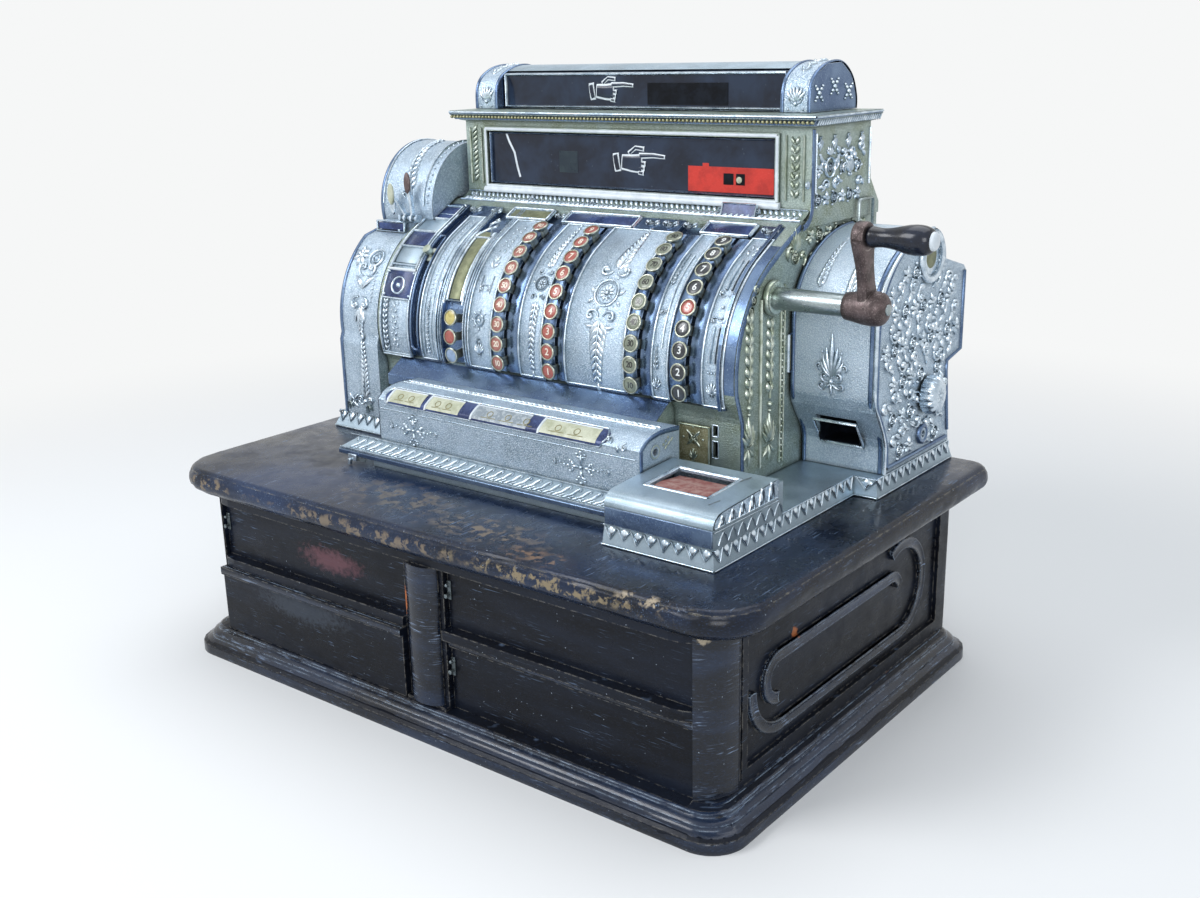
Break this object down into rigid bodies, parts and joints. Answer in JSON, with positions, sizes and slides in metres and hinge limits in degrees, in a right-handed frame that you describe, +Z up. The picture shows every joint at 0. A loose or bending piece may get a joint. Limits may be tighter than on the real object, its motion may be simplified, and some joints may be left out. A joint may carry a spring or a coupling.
{
  "type": "cash register",
  "caption": "Antique crank-operated cash register in embossed nickel with a curved keyboard, glazed amount display and slip printer on a black wooden drawer base.",
  "frame": {"origin": "on the floor under the middle of the wooden base", "axes": "+X to the side with the crank, +Y to the back, +Z up"},
  "size_m": [0.8093, 0.5525, 0.6603],
  "materials": {
    "ebonised_wood": "black stained and varnished, worn at the edges",
    "nickel": "nickel-plated castings, satin ground with polished relief and olive tarnish",
    "glass": "clear pane over a dark interior",
    "crank_iron": "steel shaft, arm with a brown patina",
    "ebonite": "polished black hard rubber",
    "red_key": "red disc under a clear cap in a metal rim",
    "cream_key": "aged cream disc under a clear cap in a metal rim",
    "black_key": "black disc under a clear cap in a metal rim",
    "yellow_key": "yellow disc under a clear cap in a metal rim",
    "blue_key": "blue-grey disc under a clear cap in a metal rim"
  },
  "bodies": {
    "register": {"wooden_carcass": "ebonised_wood", "wooden_top": "ebonised_wood", "metal_base": "nickel", "cabinet_case": "nickel", "keyboard_shield": "nickel", "left_housing": "nickel", "display_glass": "glass", "top_sign": "nickel", "printer_cover": "nickel", "slip_printer": "nickel"},
    "drawer_upper_left": {"drawer_upper_left": "ebonised_wood"},
    "drawer_upper_right": {"drawer_upper_right": "ebonised_wood"},
    "drawer_lower_left": {"drawer_lower_left": "ebonised_wood"},
    "drawer_lower_right": {"drawer_lower_right": "ebonised_wood"},
    "crank": {"crank": "crank_iron"},
    "crank_handle": {"crank_handle": "ebonite"},
    "slip_printer_knob": {"slip_printer_knob": "nickel"},
    "lever_long": {"lever_long": "nickel"},
    "lever_short": {"lever_short": "nickel"},
    "date_slider": {"date_slider": "nickel"},
    "paper_box_lid": {"paper_box_lid": "nickel"},
    "key_a1": {"key_a1": "red_key"},
    "key_a2": {"key_a2": "red_key"},
    "key_a3": {"key_a3": "red_key"},
    "key_a4": {"key_a4": "red_key"},
    "key_a5": {"key_a5": "red_key"},
    "key_a6": {"key_a6": "red_key"},
    "key_a7": {"key_a7": "red_key"},
    "key_a8": {"key_a8": "red_key"},
    "key_a9": {"key_a9": "red_key"},
    "key_b1": {"key_b1": "red_key"},
    "key_b2": {"key_b2": "red_key"},
    "key_b3": {"key_b3": "red_key"},
    "key_b4": {"key_b4": "red_key"},
    "key_b5": {"key_b5": "red_key"},
    "key_b6": {"key_b6": "red_key"},
    "key_b7": {"key_b7": "red_key"},
    "key_b8": {"key_b8": "red_key"},
    "key_b9": {"key_b9": "red_key"},
    "key_c1": {"key_c1": "cream_key"},
    "key_c2": {"key_c2": "cream_key"},
    "key_c3": {"key_c3": "cream_key"},
    "key_c4": {"key_c4": "cream_key"},
    "key_c5": {"key_c5": "cream_key"},
    "key_c6": {"key_c6": "cream_key"},
    "key_c7": {"key_c7": "cream_key"},
    "key_c8": {"key_c8": "cream_key"},
    "key_c9": {"key_c9": "cream_key"},
    "key_d1": {"key_d1": "black_key"},
    "key_d2": {"key_d2": "black_key"},
    "key_d3": {"key_d3": "black_key"},
    "key_d4": {"key_d4": "black_key"},
    "key_d5": {"key_d5": "red_key"},
    "key_d6": {"key_d6": "black_key"},
    "key_d7": {"key_d7": "black_key"},
    "key_d8": {"key_d8": "black_key"},
    "key_d9": {"key_d9": "black_key"},
    "key_clerk1": {"key_clerk1": "blue_key"},
    "key_clerk2": {"key_clerk2": "red_key"},
    "key_clerk3": {"key_clerk3": "yellow_key"}
  },
  "joints": [
    {"name": "drawer_upper_left_slide", "type": "slide", "parent": "register", "child": "drawer_upper_left", "axis": [0, -1, 0], "range_m": [0, 0.3]},
    {"name": "drawer_upper_right_slide", "type": "slide", "parent": "register", "child": "drawer_upper_right", "axis": [0, -1, 0], "range_m": [0, 0.3]},
    {"name": "drawer_lower_left_slide", "type": "slide", "parent": "register", "child": "drawer_lower_left", "axis": [0, -1, 0], "range_m": [-0.012, 0.288]},
    {"name": "drawer_lower_right_slide", "type": "slide", "parent": "register", "child": "drawer_lower_right", "axis": [0, -1, 0], "range_m": [0, 0.3]},
    {"name": "crank_turn", "type": "hinge", "parent": "register", "child": "crank", "pos_m": [0.238, 0.037, 0.436], "axis": [1, 0, 0], "continuous": true},
    {"name": "crank_handle_spin", "type": "hinge", "parent": "crank", "child": "crank_handle", "pos_m": [0.385, 0.0216, 0.5063], "axis": [1, 0, 0], "continuous": true},
    {"name": "slip_printer_knob_turn", "type": "hinge", "parent": "register", "child": "slip_printer_knob", "pos_m": [0.34, 0.196, 0.316], "axis": [1, 0, 0], "continuous": true},
    {"name": "lever_long_swing", "type": "hinge", "parent": "register", "child": "lever_long", "pos_m": [-0.2715, 0.039, 0.485], "axis": [1, 0, 0], "range_deg": [0, 35]},
    {"name": "lever_short_swing", "type": "hinge", "parent": "register", "child": "lever_short", "pos_m": [-0.283, 0.039, 0.485], "axis": [1, 0, 0], "range_deg": [0, 40]},
    {"name": "date_slider_slide", "type": "hinge", "parent": "register", "child": "date_slider", "pos_m": [-0.208, 0.096, 0.362], "axis": [1, 0, 0], "range_deg": [-8, 48]},
    {"name": "paper_box_lid_hinge", "type": "hinge", "parent": "register", "child": "paper_box_lid", "pos_m": [0.2495, -0.066, 0.2818], "axis": [-1, 0, 0], "range_deg": [0, 75]},
    {"name": "key_a1_press", "type": "slide", "parent": "register", "child": "key_a1", "axis": [0, 0.9925, 0.1219], "range_m": [0, 0.006], "stiffness_N_per_m": 300, "springref_m": -0.004},
    {"name": "key_a2_press", "type": "slide", "parent": "register", "child": "key_a2", "axis": [0, 0.9993, -0.0366], "range_m": [0, 0.006], "stiffness_N_per_m": 300, "springref_m": -0.004},
    {"name": "key_a3_press", "type": "slide", "parent": "register", "child": "key_a3", "axis": [0, 0.981, -0.1942], "range_m": [0, 0.006], "stiffness_N_per_m": 300, "springref_m": -0.004},
    {"name": "key_a4_press", "type": "slide", "parent": "register", "child": "key_a4", "axis": [0, 0.9379, -0.3469], "range_m": [0, 0.006], "stiffness_N_per_m": 300, "springref_m": -0.004},
    {"name": "key_a5_press", "type": "slide", "parent": "register", "child": "key_a5", "axis": [0, 0.8712, -0.4909], "range_m": [0, 0.006], "stiffness_N_per_m": 300, "springref_m": -0.004},
    {"name": "key_a6_press", "type": "slide", "parent": "register", "child": "key_a6", "axis": [0, 0.7826, -0.6225], "range_m": [0, 0.006], "stiffness_N_per_m": 300, "springref_m": -0.004},
    {"name": "key_a7_press", "type": "slide", "parent": "register", "child": "key_a7", "axis": [0, 0.6743, -0.7385], "range_m": [0, 0.006], "stiffness_N_per_m": 300, "springref_m": -0.004},
    {"name": "key_a8_press", "type": "slide", "parent": "register", "child": "key_a8", "axis": [0, 0.549, -0.8358], "range_m": [0, 0.006], "stiffness_N_per_m": 300, "springref_m": -0.004},
    {"name": "key_a9_press", "type": "slide", "parent": "register", "child": "key_a9", "axis": [0, 0.4099, -0.9121], "range_m": [0, 0.006], "stiffness_N_per_m": 300, "springref_m": -0.004},
    {"name": "key_b1_press", "type": "slide", "parent": "register", "child": "key_b1", "axis": [0, 0.9925, 0.1219], "range_m": [0, 0.006], "stiffness_N_per_m": 300, "springref_m": -0.004},
    {"name": "key_b2_press", "type": "slide", "parent": "register", "child": "key_b2", "axis": [0, 0.9993, -0.0366], "range_m": [0, 0.006], "stiffness_N_per_m": 300, "springref_m": -0.004},
    {"name": "key_b3_press", "type": "slide", "parent": "register", "child": "key_b3", "axis": [0, 0.981, -0.1942], "range_m": [0, 0.006], "stiffness_N_per_m": 300, "springref_m": -0.004},
    {"name": "key_b4_press", "type": "slide", "parent": "register", "child": "key_b4", "axis": [0, 0.9379, -0.3469], "range_m": [0, 0.006], "stiffness_N_per_m": 300, "springref_m": -0.004},
    {"name": "key_b5_press", "type": "slide", "parent": "register", "child": "key_b5", "axis": [0, 0.8712, -0.4909], "range_m": [0, 0.006], "stiffness_N_per_m": 300, "springref_m": -0.004},
    {"name": "key_b6_press", "type": "slide", "parent": "register", "child": "key_b6", "axis": [0, 0.7826, -0.6225], "range_m": [0, 0.006], "stiffness_N_per_m": 300, "springref_m": -0.004},
    {"name": "key_b7_press", "type": "slide", "parent": "register", "child": "key_b7", "axis": [0, 0.6743, -0.7385], "range_m": [0, 0.006], "stiffness_N_per_m": 300, "springref_m": -0.004},
    {"name": "key_b8_press", "type": "slide", "parent": "register", "child": "key_b8", "axis": [0, 0.549, -0.8358], "range_m": [0, 0.006], "stiffness_N_per_m": 300, "springref_m": -0.004},
    {"name": "key_b9_press", "type": "slide", "parent": "register", "child": "key_b9", "axis": [0, 0.4099, -0.9121], "range_m": [0, 0.006], "stiffness_N_per_m": 300, "springref_m": -0.004},
    {"name": "key_c1_press", "type": "slide", "parent": "register", "child": "key_c1", "axis": [0, 0.9925, 0.1219], "range_m": [0, 0.006], "stiffness_N_per_m": 300, "springref_m": -0.004},
    {"name": "key_c2_press", "type": "slide", "parent": "register", "child": "key_c2", "axis": [0, 0.9993, -0.0366], "range_m": [0, 0.006], "stiffness_N_per_m": 300, "springref_m": -0.004},
    {"name": "key_c3_press", "type": "slide", "parent": "register", "child": "key_c3", "axis": [0, 0.981, -0.1942], "range_m": [0, 0.006], "stiffness_N_per_m": 300, "springref_m": -0.004},
    {"name": "key_c4_press", "type": "slide", "parent": "register", "child": "key_c4", "axis": [0, 0.9379, -0.3469], "range_m": [0, 0.006], "stiffness_N_per_m": 300, "springref_m": -0.004},
    {"name": "key_c5_press", "type": "slide", "parent": "register", "child": "key_c5", "axis": [0, 0.8712, -0.4909], "range_m": [0, 0.006], "stiffness_N_per_m": 300, "springref_m": -0.004},
    {"name": "key_c6_press", "type": "slide", "parent": "register", "child": "key_c6", "axis": [0, 0.7826, -0.6225], "range_m": [0, 0.006], "stiffness_N_per_m": 300, "springref_m": -0.004},
    {"name": "key_c7_press", "type": "slide", "parent": "register", "child": "key_c7", "axis": [0, 0.6743, -0.7385], "range_m": [0, 0.006], "stiffness_N_per_m": 300, "springref_m": -0.004},
    {"name": "key_c8_press", "type": "slide", "parent": "register", "child": "key_c8", "axis": [0, 0.549, -0.8358], "range_m": [0, 0.006], "stiffness_N_per_m": 300, "springref_m": -0.004},
    {"name": "key_c9_press", "type": "slide", "parent": "register", "child": "key_c9", "axis": [0, 0.4099, -0.9121], "range_m": [0, 0.006], "stiffness_N_per_m": 300, "springref_m": -0.004},
    {"name": "key_d1_press", "type": "slide", "parent": "register", "child": "key_d1", "axis": [0, 0.9925, 0.1219], "range_m": [0, 0.006], "stiffness_N_per_m": 300, "springref_m": -0.004},
    {"name": "key_d2_press", "type": "slide", "parent": "register", "child": "key_d2", "axis": [0, 0.9993, -0.0366], "range_m": [0, 0.006], "stiffness_N_per_m": 300, "springref_m": -0.004},
    {"name": "key_d3_press", "type": "slide", "parent": "register", "child": "key_d3", "axis": [0, 0.981, -0.1942], "range_m": [0, 0.006], "stiffness_N_per_m": 300, "springref_m": -0.004},
    {"name": "key_d4_press", "type": "slide", "parent": "register", "child": "key_d4", "axis": [0, 0.9379, -0.3469], "range_m": [0, 0.006], "stiffness_N_per_m": 300, "springref_m": -0.004},
    {"name": "key_d5_press", "type": "slide", "parent": "register", "child": "key_d5", "axis": [0, 0.8712, -0.4909], "range_m": [0, 0.006], "stiffness_N_per_m": 300, "springref_m": -0.004},
    {"name": "key_d6_press", "type": "slide", "parent": "register", "child": "key_d6", "axis": [0, 0.7826, -0.6225], "range_m": [0, 0.006], "stiffness_N_per_m": 300, "springref_m": -0.004},
    {"name": "key_d7_press", "type": "slide", "parent": "register", "child": "key_d7", "axis": [0, 0.6743, -0.7385], "range_m": [0, 0.006], "stiffness_N_per_m": 300, "springref_m": -0.004},
    {"name": "key_d8_press", "type": "slide", "parent": "register", "child": "key_d8", "axis": [0, 0.549, -0.8358], "range_m": [0, 0.006], "stiffness_N_per_m": 300, "springref_m": -0.004},
    {"name": "key_d9_press", "type": "slide", "parent": "register", "child": "key_d9", "axis": [0, 0.4099, -0.9121], "range_m": [0, 0.006], "stiffness_N_per_m": 300, "springref_m": -0.004},
    {"name": "key_clerk1_press", "type": "slide", "parent": "register", "child": "key_clerk1", "axis": [0, 0.9925, 0.1219], "range_m": [0, 0.006], "stiffness_N_per_m": 300, "springref_m": -0.004},
    {"name": "key_clerk2_press", "type": "slide", "parent": "register", "child": "key_clerk2", "axis": [0, 0.9993, -0.0366], "range_m": [0, 0.006], "stiffness_N_per_m": 300, "springref_m": -0.004},
    {"name": "key_clerk3_press", "type": "slide", "parent": "register", "child": "key_clerk3", "axis": [0, 0.981, -0.1942], "range_m": [0, 0.006], "stiffness_N_per_m": 300, "springref_m": -0.004}
  ]
}
